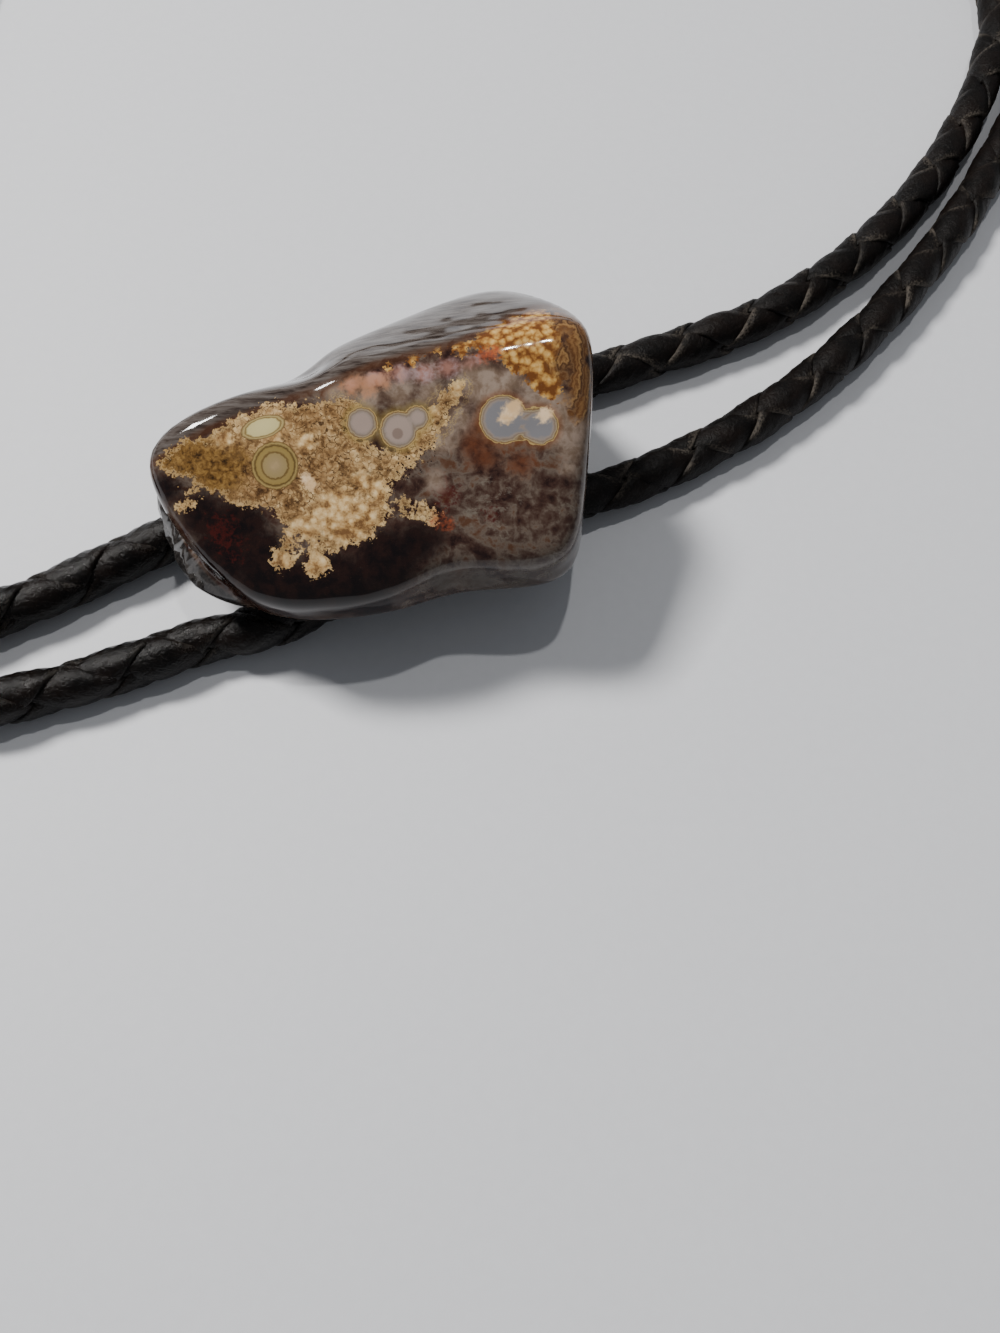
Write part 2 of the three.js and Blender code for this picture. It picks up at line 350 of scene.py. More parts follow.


# The stone is patterned on a plane that faces the wearer's view of it: u runs along the stone
# and v up its face, both in mm from the stone's middle. Each mineral, and a painted floor reflection,
# is a run of round patches (u, v, radius) that melt together; the material then roughens their outline.
FACE_SLOPE = math.radians(54.5)
FACE_MIDDLE_Z = 13.0
PATCHES = {
    "mossy": [
        (-16.5, -3, 0.9), (-15, -2.5, 1.3), (-13, -3, 2.0), (-10.5, -1.5, 2.4), (-8, 0, 1.9),
        (-5.5, 0.5, 1.5), (-3.5, 1, 1.2), (-2, 1.5, 0.8), (-11, -5, 1.2), (-8.5, -4, 2.4),
        (-6, -3, 2.6), (-3.5, -1.5, 2.2), (-1, -3, 1.9), (1, -3, 1.2), (2.5, -2, 1.0),
        (4, -0.5, 1.0), (5, 1, 1.0), (6, 2.5, 0.8), (7, 3.5, 0.4), (-6.5, -6, 1.7),
        (-4, -6, 2.4), (-1, -5, 2.1), (-5, -7.5, 1.3), (-3, -8, 1.5), (-1, -8, 1.0),
        (0, -6.5, 1.1), (2.5, -6, 0.6), (4, -6.5, 0.6), (5, -7, 0.4), (-7.5, -10.5, 0.9),
        (-7, -9, 0.6), (-4.5, -11, 0.9), (-4.5, -9.5, 0.5), (-15.5, -6.5, 0.5), (-14.5, -5.5, 0.4),
    ],
    "mustard": [(-16.5, -2.5, 1.4), (-14.5, -2.5, 1.7), (-12.5, -3.5, 1.9), (-11, -2.5, 0.9)],
    "cream": [
        (-7.5, -10.5, 0.8), (-4.5, -11, 0.8), (-6, -8, 0.9), (-4, -7.5, 1.2), (-2, -8, 1.1),
        (-0.5, -7, 1.0), (-3, -6, 1.2), (0.5, -5, 0.9), (-1, -4, 0.8), (-8, -0.5, 0.8),
        (6.5, 3.5, 0.5), (4.5, 1.5, 0.5), (-15.5, -6.5, 0.4), (-5.5, -1, 0.7), (-12, -1, 0.6),
    ],
    "dark": [
        (-17, -5, 1.2), (-14, -7, 1.8), (-11, -8, 2.3), (-12.5, -10.5, 2.4), (-9, -10, 1.8),
        (-9, -12.5, 2.2), (-6.5, -13, 2.6), (-3, -12.5, 2.8), (-0.5, -14, 2.0), (1, -10.5, 2.6),
        (3.5, -9, 1.6), (5, -8.5, 0.8),
    ],
    "red": [(-12.5, -8, 0.7), (-12, -9, 0.5), (-11, -10, 0.3), (6, -5, 0.7), (9.5, -6.5, 0.4)],
    "rust": [(8, 0.5, 0.5), (8, -1, 0.8), (9, -2, 0.9), (12, -2.5, 0.8)],
    "ember": [(6, -7.5, 0.2), (5, -7, 0.2), (9, 6, 0.3), (10, 6.5, 0.3)],
    "peach": [(-2, 3.5, 0.3), (-0.5, 3.5, 0.3), (0.5, 4, 0.4), (2, 4.5, 0.2)],
    "gold": [
        (1, 5, 0.2), (3, 5.5, 0.3), (5, 6.5, 0.3), (7, 6.5, 0.5), (9, 7.5, 0.8), (10.5, 8, 1.0),
        (12, 8, 1.4), (13.5, 9, 1.1), (13.5, 7, 1.6), (11.5, 6, 1.0), (13.5, 5, 1.3), (14.5, 3.5, 0.8),
    ],
    "bands": [(16, 6, 1.5), (17, 4, 1.3), (15.5, 9, 1.2), (17, 2, 0.9), (18, 8, 2.0)],
    "pink": [(-2, 3.5, 0.3), (0, 4, 0.5), (2, 4.5, 0.5), (4, 4.5, 0.6), (6, 5, 0.6), (8, 5.5, 0.5)],
    "haze": [
        (-3, 2.5, 0.7), (-0.5, 2.5, 0.9), (2, 3, 1.0), (4.5, 3, 0.9), (7.5, 4.5, 0.9), (9, 4, 1.2),
        (11, 4, 1.2), (8.5, 3, 1.0), (7, 1, 1.0), (5.5, -0.5, 1.2), (5, -4, 0.8), (13, 3, 1.0),
        (15, 2, 1.2), (16.5, 0.5, 1.0), (15.5, -0.5, 0.8), (16.5, -1.5, 0.8), (16, -3, 0.6),
    ],
    "flakes": [
        (10.5, -5.5, 1.4), (8, -6.5, 0.8), (10.5, -8, 0.7), (9, -3.5, 0.6), (15.5, -10, 1.1),
        (16, -6, 0.7),
    ],
    "oxide": [
        (2.5, -3, 0.9), (4, -2.5, 0.6), (1.5, -4.5, 0.5), (10, -3.5, 0.4), (0, -8, 0.4), (5, -1, 0.4),
    ],
    # painted reflection of the pale floor along the stone's lower right edge
    "floor_reflection_rim": [
        (5.5, -12.5, 1.2), (9, -12.5, 1.4), (12.5, -12.5, 1.5), (15.5, -11.5, 1.3), (17.5, -8.5, 0.8),
        (18, -3.5, 0.7),
    ],
    "orbs": [(-1, 0.5, 1.1), (2, 0, 1.35), (3.5, 1, 0.8), (10.5, 1, 1.8), (13.5, 0.5, 1.4)],
    "blobs": [
        (11, 1.5, 0.6), (11.5, 2, 0.6), (10.5, 1, 0.4), (14, 1.5, 0.6), (13.5, 1, 0.4),
        (-5.5, -4, 0.4), (-5, -4.5, 0.4),
    ],
}
# The ridge across the top of the stone, and how each patch field melts together (mm)
RIDGE = [(-18, -3), (-14, -0.5), (-9, 1.5), (-5, 3), (-0.5, 5), (3, 6), (6.5, 7), (9.5, 8.5),
         (12, 10), (14, 10.5), (18, 11.5)]
MELT = {"orbs": 0.10, "blobs": 0.15, "pink": 0.6, "peach": 0.6, "gold": 0.5}
# Concentric eyes: u, v, radius, stretch along u, turn
EYES = {"ringed": (-8, -3, 1.9, 1.0, 0.0), "oval": (-9, 0, 0.9, 2.1, 0.3)}
BAND_CENTRE = (15.5, 5.5)


def face_coordinates(points):
    """u and v of each point, in mm."""
    up_face = points[:, 1] / MM * math.sin(FACE_SLOPE)
    up_face += (points[:, 2] / MM - FACE_MIDDLE_Z) * math.cos(FACE_SLOPE)
    return np.stack([points[:, 0] / MM, up_face], 1)


def patch_depth(uv, patches, melt):
    """How far inside the melted patches each point is, in mm, and negative outside."""
    total = np.zeros(len(uv))
    for u, v, radius in patches:
        apart = np.hypot(uv[:, 0] - u, uv[:, 1] - v)
        total += np.exp(np.clip((radius - apart) / melt, -60, 60))
    return np.maximum(melt * np.log(np.maximum(total, 1e-20)), -6)


def stone_fields(points, rays):
    """Every field the agate's material reads, by name."""
    uv = face_coordinates(points)
    fields = {k: patch_depth(uv, v, MELT.get(k, 0.35)) for k, v in PATCHES.items()}
    reverse = rays[:, 2] < -0.25
    for name in ("orbs", "blobs"):
        fields[name][reverse] = -6
    for name, (u, v, radius, stretch, turn) in EYES.items():
        du, dv = uv[:, 0] - u, uv[:, 1] - v
        along_eye = (du * math.cos(turn) + dv * math.sin(turn)) / stretch
        across_eye = dv * math.cos(turn) - du * math.sin(turn)
        fields[name] = np.minimum(np.hypot(along_eye, across_eye) / radius, 4)
        fields[name][reverse] = 4
    fields["ledge"] = ledge_height(rays)
    fields["pupil"] = np.minimum(np.hypot(uv[:, 0] - 1.9, uv[:, 1] + 0.3) / 0.5, 4)
    fields["behind"] = uv[:, 1] - np.interp(uv[:, 0], *zip(*RIDGE))
    du, dv = uv[:, 0] - BAND_CENTRE[0], uv[:, 1] - BAND_CENTRE[1]
    fields["band_ring"] = np.hypot(du, dv / 2.6)
    return fields


def make_stone():
    bpy.ops.mesh.primitive_ico_sphere_add(subdivisions=6, radius=1)
    stone = bpy.context.object
    stone.name = "agate_pebble"
    mesh = stone.data
    rays = np.empty(len(mesh.vertices) * 3)
    mesh.vertices.foreach_get("co", rays)
    rays = rays.reshape(-1, 3)
    rays /= np.linalg.norm(rays, axis=1)[:, None]
    points = rays * stone_radius(rays)[:, None] + STONE_CENTRE + LAYOUT
    points[:, 2] = np.maximum(points[:, 2], STONE_BACK_Z)
    mesh.vertices.foreach_set("co", points.ravel())
    mesh.polygons.foreach_set("use_smooth", [True] * len(mesh.polygons))
    for name, values in stone_fields(points, rays).items():
        layer = mesh.attributes.new(name, "FLOAT", "POINT")
        layer.data.foreach_set("value", values.astype(np.float32))
    mesh.update()
    return stone


# ---- slide back: a plate with two rolled tunnels that grip the cord ----
PLATE = {"u": (-0.008, 0.012), "v": (-0.01205, 0.00725), "z": (0.0059, 0.0069)}
TUNNEL = {"u": (-0.001, 0.008), "outer": 0.0031, "inner": 0.0026}


def slide_place(u, v, z):
    c, s = math.cos(SLIDE_TURN), math.sin(SLIDE_TURN)
    return (u * c - v * s + LAYOUT[0], u * s + v * c + LAYOUT[1], z)


def make_slide_back(sides=48, corner=0.0035, bevel=0.00025):
    points, faces = [], []
    (u0, u1), (v0, v1), (z0, z1) = PLATE["u"], PLATE["v"], PLATE["z"]
    outline = []
    quarter = ((u1, v1, 0), (u0, v1, 1), (u0, v0, 2), (u1, v0, 3))
    for u, v, turn in quarter:
        cu = u - corner * math.copysign(1, u - (u0 + u1) / 2)
        cv = v - corner * math.copysign(1, v - (v0 + v1) / 2)
        for k in range(9):
            outline.append((cu, cv, math.pi / 2 * (turn + k / 8)))
    levels = ((z0, bevel), (z0 + bevel, 0), (z1 - bevel, 0), (z1, bevel))
    for z, inset in levels:
        for u, v, a in outline:
            r = corner - inset
            points.append(slide_place(u + r * math.cos(a), v + r * math.sin(a), z))
    ring = len(outline)
    for i in range(len(levels) - 1):
        for j in range(ring):
            k = (j + 1) % ring
            faces.append((i * ring + j, i * ring + k, (i + 1) * ring + k, (i + 1) * ring + j))
    faces.append(tuple(range(ring))[::-1])
    faces.append(tuple(3 * ring + j for j in range(ring)))
    for offset in CORD_OFFSETS.values():
        base = len(points)
        (t0, t1), outer, inner = TUNNEL["u"], TUNNEL["outer"], TUNNEL["inner"]
        lip = 0.0002
        section = ((t0 + lip, outer), (t1 - lip, outer), (t1, outer - lip), (t1, inner + lip),
                   (t1 - lip, inner), (t0 + lip, inner), (t0, inner + lip), (t0, outer - lip))
        for u, r in section:
            for j in range(sides):
                a = 2 * math.pi * j / sides
                z = IN_SLIDE + r * math.sin(a)
                points.append(slide_place(u, offset + r * math.cos(a), z))
        for i in range(len(section)):
            m = (i + 1) % len(section)
            for j in range(sides):
                k = (j + 1) % sides
                faces.append((base + i * sides + j, base + i * sides + k,
                              base + m * sides + k, base + m * sides + j))
    return mesh_piece("slide_back_clasp", points, faces)


# ---- materials ----
class Nodes:
    """Short calls for building one material's node tree."""

    def __init__(self, name):
        self.material = bpy.data.materials.new(name)
        self.material.use_nodes = True
        self.tree = self.material.node_tree
        self.shader = self.tree.nodes["Principled BSDF"]

    def add(self, kind, **values):
        node = self.tree.nodes.new(kind)
        for key, value in values.items():
            setattr(node, key, value)
        return node

    def put(self, socket, value):
        if isinstance(value, bpy.types.NodeSocket):
            self.tree.links.new(value, socket)
        else:
            socket.default_value = value

    def place(self, scale=1.0, stretch=(1, 1, 1), turn=(0, 0, 0)):
        """Object coordinates in millimetres."""
        coordinates = self.add("ShaderNodeTexCoord").outputs["Object"]
        mapping = self.add("ShaderNodeMapping", vector_type="POINT")
        self.put(mapping.inputs["Vector"], coordinates)
        mapping.inputs["Rotation"].default_value = turn
        mapping.inputs["Scale"].default_value = [1000 * scale * k for k in stretch]
        return mapping.outputs["Vector"]

    def noise(self, vector, scale, detail=4, rough=0.55, distortion=0.0, colour=False):
        node = self.add("ShaderNodeTexNoise")
        self.put(node.inputs["Vector"], vector)
        node.inputs["Scale"].default_value = scale
        node.inputs["Detail"].default_value = detail
        node.inputs["Roughness"].default_value = rough
        node.inputs["Distortion"].default_value = distortion
        return node.outputs["Color" if colour else "Fac"]

    def cells(self, vector, scale, feature="F1", random=1.0, output="Distance"):
        node = self.add("ShaderNodeTexVoronoi", feature=feature)
        self.put(node.inputs["Vector"], vector)
        node.inputs["Scale"].default_value = scale
        node.inputs["Randomness"].default_value = random
        return node.outputs[output]

    def math(self, operation, a, b=0.0, clamp=False):
        node = self.add("ShaderNodeMath", operation=operation, use_clamp=clamp)
        self.put(node.inputs[0], a)
        self.put(node.inputs[1], b)
        return node.outputs[0]

    def attribute(self, name):
        return self.add("ShaderNodeAttribute", attribute_name=name).outputs["Fac"]

    def step(self, value, low, high):
        """0 below low and 1 above high, smooth between."""
        node = self.add("ShaderNodeMapRange", interpolation_type="SMOOTHSTEP")
        self.put(node.inputs["Value"], value)
        node.inputs["From Min"].default_value = low
        node.inputs["From Max"].default_value = high
        return node.outputs["Result"]

    def ramp(self, value, stops, interpolation="LINEAR"):
        node = self.add("ShaderNodeValToRGB")
        node.color_ramp.interpolation = interpolation
        elements = node.color_ramp.elements
        while len(elements) < len(stops):
            elements.new(0.5)
        for element, (at, colour) in zip(elements, stops):
            element.position = at
            element.color = (*colour, 1)
        self.put(node.inputs["Fac"], value)
        return node.outputs["Color"]

    def mix(self, share, a, b, blend="MIX"):
        node = self.add("ShaderNodeMix", data_type="RGBA", blend_type=blend)
        self.put(node.inputs["Factor"], share)
        for socket, value in ((node.inputs[6], a), (node.inputs[7], b)):
            self.put(socket, value if isinstance(value, bpy.types.NodeSocket) else (*value, 1))
        return node.outputs[2]

    def noise_shift(self, vector, scale, amount):
        """The vector, pushed about by a coarse noise."""
        push = self.noise(vector, scale, 3, colour=True)
        shifted = self.add("ShaderNodeVectorMath", operation="MULTIPLY_ADD")
        self.put(shifted.inputs[0], push)
        shifted.inputs[1].default_value = (amount, amount, amount)
        self.put(shifted.inputs[2], vector)
        return shifted.outputs[0]

    def add_u(self):
        """x in millimetres."""
        parts = self.add("ShaderNodeSeparateXYZ")
        self.put(parts.inputs[0], self.place())
        return parts.outputs[0]

    def deepen(self, colour, power, saturation):
        """The colour as seen through polish: darker in the darks, and stronger."""
        gamma = self.add("ShaderNodeGamma")
        self.put(gamma.inputs["Color"], colour)
        gamma.inputs["Gamma"].default_value = power
        strong = self.add("ShaderNodeHueSaturation")
        self.put(strong.inputs["Color"], gamma.outputs["Color"])
        strong.inputs["Saturation"].default_value = saturation
        return strong.outputs["Color"]

    def bump(self, height, strength, distance, normal=None):
        node = self.add("ShaderNodeBump")
        self.put(node.inputs["Height"], height)
        node.inputs["Strength"].default_value = strength
        node.inputs["Distance"].default_value = distance
        if normal is not None:
            self.put(node.inputs["Normal"], normal)
        return node.outputs["Normal"]


def leather_material(name, gloss, wear):
    """Dyed leather lace. gloss lowers the roughness, and wear pales the edges."""
    n = Nodes(name)
    place = n.place()
    run = n.attribute("lace_run")
    across = n.attribute("lace_across")
    lace = n.add("ShaderNodeCombineXYZ")
    n.put(lace.inputs[0], n.math("MULTIPLY", run, 1000.0))
    n.put(lace.inputs[1], n.math("MULTIPLY", across, 2.0))
    n.put(lace.inputs[2], n.math("MULTIPLY", n.attribute("lace_out"), 0.6))
    lace = lace.outputs[0]
    tone = n.noise(place, 0.35, 3)
    pores = n.noise(lace, 5.5, 5, 0.65)
    creases = n.noise(lace, 1.3, 4, 0.6, 1.2)
    colour = n.mix(n.step(tone, 0.35, 0.7), (0.0016, 0.0012, 0.0011), (0.0050, 0.0028, 0.0020))
    colour = n.mix(n.step(pores, 0.45, 0.8), colour, (0.0085, 0.0065, 0.0055))
    edge = n.math("ABSOLUTE", across)
    rub = n.math("ADD", edge, n.math("MULTIPLY", n.math("SUBTRACT", pores, 0.5), 1.5))
    worn = n.step(rub, 0.66, 1.08)
    worn = n.math("MULTIPLY", worn, n.step(n.noise(place, 0.22, 3), 0.42, 0.62))
    worn = n.math("MULTIPLY", worn, n.step(n.attribute("cord_reach"), 0.62, 0.9))
    colour = n.mix(n.math("MULTIPLY", worn, wear), colour, (0.080, 0.068, 0.056))
    n.put(n.shader.inputs["Base Color"], colour)
    rough = n.math("ADD", 0.36 - gloss, n.math("MULTIPLY", n.noise(place, 1.1, 3), 0.18))
    n.put(n.shader.inputs["Roughness"], n.math("ADD", rough, n.math("MULTIPLY", worn, 0.25)))
    n.shader.inputs["Specular IOR Level"].default_value = 0.12 + 0.15 * gloss
    normal = n.bump(creases, 0.5, 0.00035)
    n.put(n.shader.inputs["Normal"], n.bump(pores, 0.6, 0.00012, normal))
    return n.material


def metal_material(name, colour, rough, scratch):
    n = Nodes(name)
    place = n.place()
    fine = n.noise(n.place(stretch=(1, 12, 12)), 1.4, 4, 0.6)
    dull = n.noise(place, 0.5, 3)
    dark = tuple(k * 0.55 for k in colour)
    n.put(n.shader.inputs["Base Color"], n.mix(n.step(dull, 0.3, 0.75), dark, colour))
    n.shader.inputs["Metallic"].default_value = 1.0
    n.put(n.shader.inputs["Roughness"], n.math("ADD", rough, n.math("MULTIPLY", fine, scratch)))
    n.put(n.shader.inputs["Normal"], n.bump(fine, 0.15, 0.00005))
    return n.material


def floor_material():
    n = Nodes("pale_floor")
    grain = n.noise(n.place(), 0.9, 4)
    n.put(n.shader.inputs["Base Color"], n.mix(grain, (0.56, 0.57, 0.60), (0.60, 0.61, 0.64)))
    n.shader.inputs["Roughness"].default_value = 0.6
    return n.material


def agate_material():
    n = Nodes("polished_agate")
    place = n.place()
    cloud = n.noise(place, 0.30, 4, 0.55, 0.6)
    coarse = n.noise(place, 0.9, 4, 0.6, 0.3)
    middle = n.noise(place, 2.0, 4, 0.62, 0.4)
    fine = n.noise(place, 4.5, 4, 0.65)
    grit = n.noise(place, 10.0, 3, 0.6)
    knobs = n.cells(n.noise_shift(place, 1.2, 0.6), 1.5, "SMOOTH_F1")
    spots = n.cells(n.noise_shift(place, 2.0, 0.5), 1.55)

    def wander(*parts):
        """An outline's wandering, in mm, from (noise, amount) pairs."""
        total = 0.0
        for noise, amount in parts:
            total = n.math("ADD", total, n.math("MULTIPLY", n.math("SUBTRACT", noise, 0.5), amount))
        return total

    rough_edge = wander((coarse, 1.1), (middle, 1.5), (fine, 1.3), (knobs, -0.5))
    soft_edge = wander((cloud, 2.0), (coarse, 2.5), (middle, 1.2))

    def depth(name, edge=None):
        field = n.attribute(name)
        return field if edge is None else n.math("ADD", field, edge)

    def patch(name, blur, edge=None, most=1.0):
        mask = n.step(depth(name, edge), -blur, blur)
        return n.math("MULTIPLY", mask, most)

    # brown-grey translucent body with rusty clouds
    body = n.ramp(n.math("ADD", n.math("MULTIPLY", cloud, 0.45), n.math("MULTIPLY", coarse, 0.55)), [
        (0.38, (0.034, 0.014, 0.012)), (0.45, (0.075, 0.040, 0.030)),
        (0.50, (0.108, 0.074, 0.058)), (0.55, (0.165, 0.132, 0.108)),
        (0.62, (0.120, 0.062, 0.036)),
    ])
    body = n.mix(n.math("MULTIPLY", n.step(fine, 0.55, 0.75), 0.35), body, (0.16, 0.115, 0.085))
    # grey patches along the lower right edge: a painted reflection of the pale floor
    colour = n.mix(patch("floor_reflection_rim", 1.2, soft_edge, 0.75), body, (0.115, 0.100, 0.086))

    # grey flakes, in the clear part
    flake = n.step(n.noise(n.place(stretch=(1.0, 1.7, 1.0)), 0.95, 5, 0.65, 0.5), 0.53, 0.57)
    flake = n.math("MULTIPLY", flake, patch("flakes", 0.4, rough_edge))
    colour = n.mix(n.math("MULTIPLY", flake, 0.45), colour, (0.24, 0.22, 0.185))

    # near-black maroon below, with red veils
    dark = n.mix(n.step(coarse, 0.35, 0.65), (0.009, 0.0035, 0.0045), (0.030, 0.012, 0.009))
    dark = n.mix(n.math("MULTIPLY", n.step(grit, 0.62, 0.72), 0.5), dark, (0.085, 0.050, 0.030))
    colour = n.mix(patch("dark", 0.9, soft_edge), colour, dark)
    colour = n.mix(patch("red", 0.7, wander((middle, 5.0), (fine, 3.0)), 0.8), colour, (0.085, 0.012, 0.008))
    colour = n.mix(patch("rust", 0.9, soft_edge, 0.85), colour, (0.16, 0.058, 0.023))

    # clear grey bands, with thin gold level lines that follow the tan growths
    haze = n.mix(n.step(coarse, 0.35, 0.65), (0.205, 0.150, 0.110), (0.33, 0.265, 0.220))
    colour = n.mix(patch("haze", 0.6, wander((cloud, 1.0), (middle, 0.6)), 0.92), colour, haze)
    pink = n.mix(n.step(coarse, 0.40, 0.60), (0.33, 0.185, 0.150), (0.38, 0.275, 0.275))
    colour = n.mix(patch("pink", 0.35, wander((coarse, 0.8), (middle, 0.4)), 0.92), colour, pink)
    colour = n.mix(patch("peach", 0.5, soft_edge, 0.6), colour, (0.50, 0.250, 0.130))

    # golden lace: rounded cells with brown seams
    lace = n.ramp(n.math("ADD", spots, n.math("MULTIPLY", n.math("SUBTRACT", middle, 0.5), 0.9)), [
        (0.10, (0.60, 0.42, 0.18)), (0.36, (0.49, 0.31, 0.105)), (0.55, (0.33, 0.175, 0.050)),
        (0.75, (0.18, 0.075, 0.020)),
    ])
    colour = n.mix(patch("gold", 0.12, rough_edge), colour, lace)
    ring = n.math("ADD", n.attribute("band_ring"), wander((coarse, 1.1), (middle, 0.3)))
    band = n.ramp(n.math("FRACT", n.math("MULTIPLY", ring, 1.15)), [
        (0.0, (0.13, 0.060, 0.022)), (0.22, (0.26, 0.150, 0.065)), (0.36, (0.16, 0.078, 0.030)),
        (0.55, (0.33, 0.205, 0.090)), (0.70, (0.085, 0.040, 0.018)), (0.86, (0.21, 0.125, 0.062)),
        (1.0, (0.13, 0.060, 0.022)),
    ])
    colour = n.mix(patch("bands", 0.5, soft_edge), colour, band)

    # grey back of the stone, behind the ridge, streaked along it; its palest streaks are painted sheen
    streaks = n.noise(n.place(stretch=(0.22, 1.5, 1.0), turn=(0, 0, math.radians(-20))), 1.5, 5, 0.65)
    grey = n.ramp(streaks, [
        (0.34, (0.030, 0.019, 0.016)), (0.43, (0.075, 0.058, 0.050)),
        (0.52, (0.120, 0.102, 0.092)), (0.68, (0.175, 0.158, 0.150)),
    ])
    back = n.step(depth("behind", wander((coarse, 1.4), (middle, 1.0))), -0.15, 0.25)
    colour = n.mix(back, colour, grey)
    crest = n.math("SUBTRACT", 1.0, n.step(n.math("ABSOLUTE", n.attribute("behind")), 0.1, 0.6))
    colour = n.mix(n.math("MULTIPLY", crest, 0.55), colour, (0.10, 0.045, 0.02))

    # the ledge is plain grey rock, and the groove above it is painted near-black as shade
    rock = n.mix(n.step(middle, 0.4, 0.6), (0.034, 0.031, 0.030), (0.070, 0.064, 0.061))
    colour = n.mix(n.step(n.attribute("ledge"), 0.15, 0.5), colour, rock)
    colour = n.mix(n.step(n.attribute("ledge"), -0.1, -0.5), colour, (0.010, 0.007, 0.007))

    # mossy tan growths: crusts with brown pockets and dark seams between them
    pocket = n.math("ADD", n.math("MULTIPLY", coarse, 0.45), n.math("MULTIPLY", middle, 0.55))
    moss = n.ramp(pocket, [
        (0.36, (0.085, 0.048, 0.022)), (0.43, (0.24, 0.150, 0.070)), (0.49, (0.43, 0.295, 0.150)),
        (0.55, (0.56, 0.410, 0.225)), (0.61, (0.66, 0.510, 0.310)), (0.68, (0.40, 0.265, 0.120)),
    ])
    seams = n.math("SUBTRACT", 1.0, n.step(n.cells(n.noise_shift(place, 1.5, 0.9), 1.7,
                                                   "DISTANCE_TO_EDGE"), 0.01, 0.10))
    moss = n.mix(n.math("MULTIPLY", seams, n.step(middle, 0.40, 0.60)), moss, (0.115, 0.068, 0.032))
    moss = n.mix(n.math("MULTIPLY", n.step(fine, 0.56, 0.70), 0.45), moss, (0.15, 0.090, 0.042))
    shade = n.math("MULTIPLY", n.step(cloud, 0.42, 0.60), 0.8)
    moss = n.mix(shade, moss, (0.62, 0.55, 0.49), "MULTIPLY")
    mustard = n.ramp(middle, [
        (0.32, (0.040, 0.021, 0.007)), (0.48, (0.17, 0.095, 0.026)), (0.62, (0.29, 0.180, 0.056)),
    ])
    moss = n.mix(patch("mustard", 0.8, rough_edge, 0.9), moss, mustard)
    crust = n.ramp(n.math("ADD", knobs, n.math("MULTIPLY", n.math("SUBTRACT", fine, 0.5), 0.7)), [
        (0.05, (0.76, 0.61, 0.38)), (0.30, (0.64, 0.47, 0.255)), (0.50, (0.42, 0.27, 0.120)),
        (0.65, (0.20, 0.11, 0.045)),
    ])
    moss = n.mix(patch("cream", 0.5, rough_edge, 0.9), moss, crust)
    growth = depth("mossy", rough_edge)
    rim_line = n.math("SUBTRACT", 1.0, n.step(n.math("ABSOLUTE", n.math("SUBTRACT", growth, 0.16)), 0.03, 0.16))
    moss = n.mix(n.math("MULTIPLY", rim_line, 0.55), moss, (0.54, 0.40, 0.21))
    colour = n.mix(n.step(growth, -0.04, 0.06), colour, moss)
    for level, strength in ((-0.30, 0.45), (-0.52, 0.25)):
        line = n.math("ABSOLUTE", n.math("SUBTRACT", depth("mossy", wander((middle, 1.4))), level))
        line = n.math("SUBTRACT", 1.0, n.step(line, 0.02, 0.07))
        line = n.math("MULTIPLY", line, patch("haze", 0.4, None, strength))
        colour = n.mix(line, colour, (0.50, 0.38, 0.17))
    dots = n.math("SUBTRACT", 1.0, n.step(n.cells(place, 3.4), 0.20, 0.28))
    dots = n.math("MULTIPLY", dots, patch("oxide", 0.15, rough_edge))
    colour = n.mix(dots, colour, (0.018, 0.007, 0.009))
    colour = n.mix(patch("ember", 0.5, rough_edge, 0.8), colour, (0.42, 0.110, 0.040))

    # grey eyes that melt together inside gold outlines
    orb = n.math("ADD", n.attribute("orbs"), wander((middle, 0.35)))
    glow = n.math("MULTIPLY", n.step(orb, -0.85, 0.0), 0.55)
    side = n.step(n.add_u(), 5.0, 8.0)
    colour = n.mix(glow, colour, n.mix(side, (0.30, 0.225, 0.070), (0.26, 0.115, 0.045)))
    fill = n.mix(side, (0.36, 0.29, 0.255), (0.23, 0.225, 0.235))
    shells = n.ramp(n.math("ADD", n.math("MULTIPLY", orb, 0.8), 0.3), [
        (0.10, (0.22, 0.140, 0.055)), (0.17, (0.46, 0.345, 0.16)), (0.23, (0.20, 0.130, 0.065)),
        (0.31, (0.36, 0.295, 0.20)), (0.38, (0.24, 0.190, 0.150)), (0.50, (0.31, 0.26, 0.225)),
    ])
    shells = n.mix(n.step(orb, 0.18, 0.45), shells, fill)
    colour = n.mix(n.step(orb, -0.22, -0.17), colour, shells)
    pupil = n.math("SUBTRACT", 1.0, n.step(n.math("ADD", n.attribute("pupil"), 0.0), 0.75, 1.05))
    colour = n.mix(n.math("MULTIPLY", pupil, 0.5), colour, (0.15, 0.105, 0.085))
    blob = n.mix(n.step(coarse, 0.35, 0.65), (0.74, 0.58, 0.40), (0.64, 0.46, 0.27))
    colour = n.mix(patch("blobs", 0.22, wander((middle, 1.0))), colour, blob)

    eyes = {
        "ringed": [
            (0.0, (0.44, 0.33, 0.20)), (0.22, (0.34, 0.265, 0.15)), (0.50, (0.32, 0.25, 0.125)),
            (0.56, (0.16, 0.105, 0.040)), (0.64, (0.31, 0.235, 0.095)), (0.78, (0.30, 0.225, 0.085)),
            (0.84, (0.13, 0.085, 0.030)), (0.93, (0.37, 0.285, 0.125)), (1.0, (0.15, 0.095, 0.035)),
        ],
        "oval": [
            (0.0, (0.58, 0.52, 0.29)), (0.70, (0.54, 0.475, 0.26)), (0.80, (0.23, 0.165, 0.07)),
            (0.88, (0.45, 0.36, 0.18)), (1.0, (0.17, 0.11, 0.05)),
        ],
    }
    for name, stops in eyes.items():
        reach = n.math("ADD", n.attribute(name), wander((middle, 0.10), (fine, 0.10)))
        inside = n.math("SUBTRACT", 1.0, n.step(reach, 0.98, 1.04))
        colour = n.mix(inside, colour, n.ramp(reach, stops))

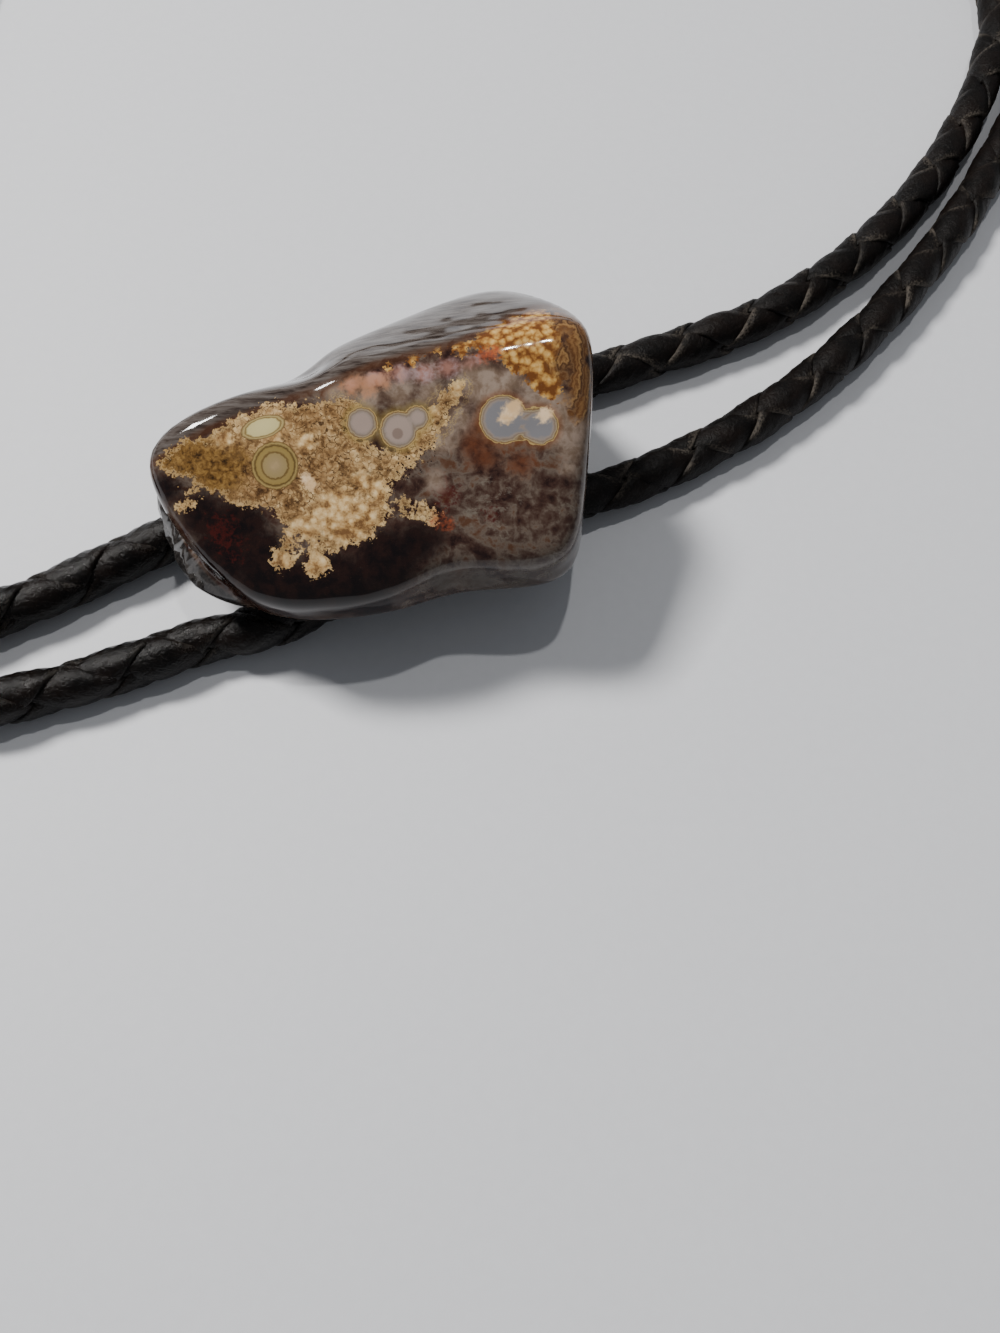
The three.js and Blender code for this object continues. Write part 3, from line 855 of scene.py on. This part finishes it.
    n.put(n.shader.inputs["Base Color"], n.deepen(colour, 1.28, 0.98))
    n.put(n.shader.inputs["Roughness"], n.math("ADD", 0.04, n.math("MULTIPLY", fine, 0.07)))
    n.shader.inputs["IOR"].default_value = 1.54
    n.shader.inputs["Specular IOR Level"].default_value = 0.32
    waves = n.noise(place, 0.22, 1, 0.5)
    n.put(n.shader.inputs["Normal"], n.bump(waves, 0.35, 0.0009))
    return n.material


def paint(piece, material):
    piece.data.materials.clear()
    piece.data.materials.append(material)


# ---- build the pieces ----
worn_leather = leather_material("braided_leather_worn", 0.0, 0.9)
glossy_leather = leather_material("braided_leather_waxed", 0.22, 0.25)
# the slide back's metal is painted dark as shade: its colour stands in for the shadow under the stone
finding_metal_dark_as_shade = metal_material("slide_back_metal_dark_as_shade", (0.16, 0.15, 0.14), 0.36, 0.2)
tip_metal = metal_material("tip_nickel", (0.66, 0.65, 0.63), 0.14, 0.14)


def add_cords_and_tips():
    tips = {"cord_end_a": "a", "cord_end_b": "b"}
    cords = (
        ("cord_neck_loop", NECK_LOOP, 1.41, worn_leather),
        ("cord_end_a", END_A, 0.6, glossy_leather),
        ("cord_end_b", END_B, 0.6, glossy_leather),
    )
    for node, route, phase, leather in cords:
        braid, line, length = braided_cord(f"{node}_braid", route, phase)
        paint(braid, leather)
        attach(braid, "root")
        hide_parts(node)
        if node in tips:
            tip = make_tip(tips[node], route)
            paint(tip, tip_metal)
            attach(tip, "root")
            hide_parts(f"tip_{tips[node]}")


def add_slide():
    stone = make_stone()
    paint(stone, agate_material())
    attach(stone, "root")
    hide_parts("stone")
    clasp = make_slide_back()
    # its dark metal is painted shade under the stone
    paint(clasp, finding_metal_dark_as_shade)
    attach(clasp, "root")
    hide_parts("slide_back")


def add_stage():
    """A plain pale floor and soft studio light, brightest from behind the object."""
    bpy.ops.mesh.primitive_plane_add(size=3)
    floor = bpy.context.object
    floor.name = "floor"
    paint(floor, floor_material())
    world = bpy.data.worlds.new("studio")
    world.use_nodes = True
    world.node_tree.nodes["Background"].inputs["Color"].default_value = (0.92, 0.95, 1.0, 1)
    world.node_tree.nodes["Background"].inputs["Strength"].default_value = 0.24
    bpy.context.scene.world = world
    lights = (
        ("key", (-0.36, 0.24, 0.56), 0.14, 8.2, (1.0, 0.98, 0.95)),
        ("spot", (0.035, 0.105, 0.52), 0.014, 0.6, (1.0, 0.99, 0.97)),
    )
    for name, place, size, power, colour in lights:
        data = bpy.data.lights.new(name, "AREA")
        data.size = size
        data.energy = power
        data.color = colour
        lamp = bpy.data.objects.new(name, data)
        bpy.context.collection.objects.link(lamp)
        lamp.location = place
        lamp.rotation_euler = (Vector((0, 0, 0.01)) - Vector(place)).to_track_quat("-Z", "Y").to_euler()


add_cords_and_tips()
add_slide()
add_stage()
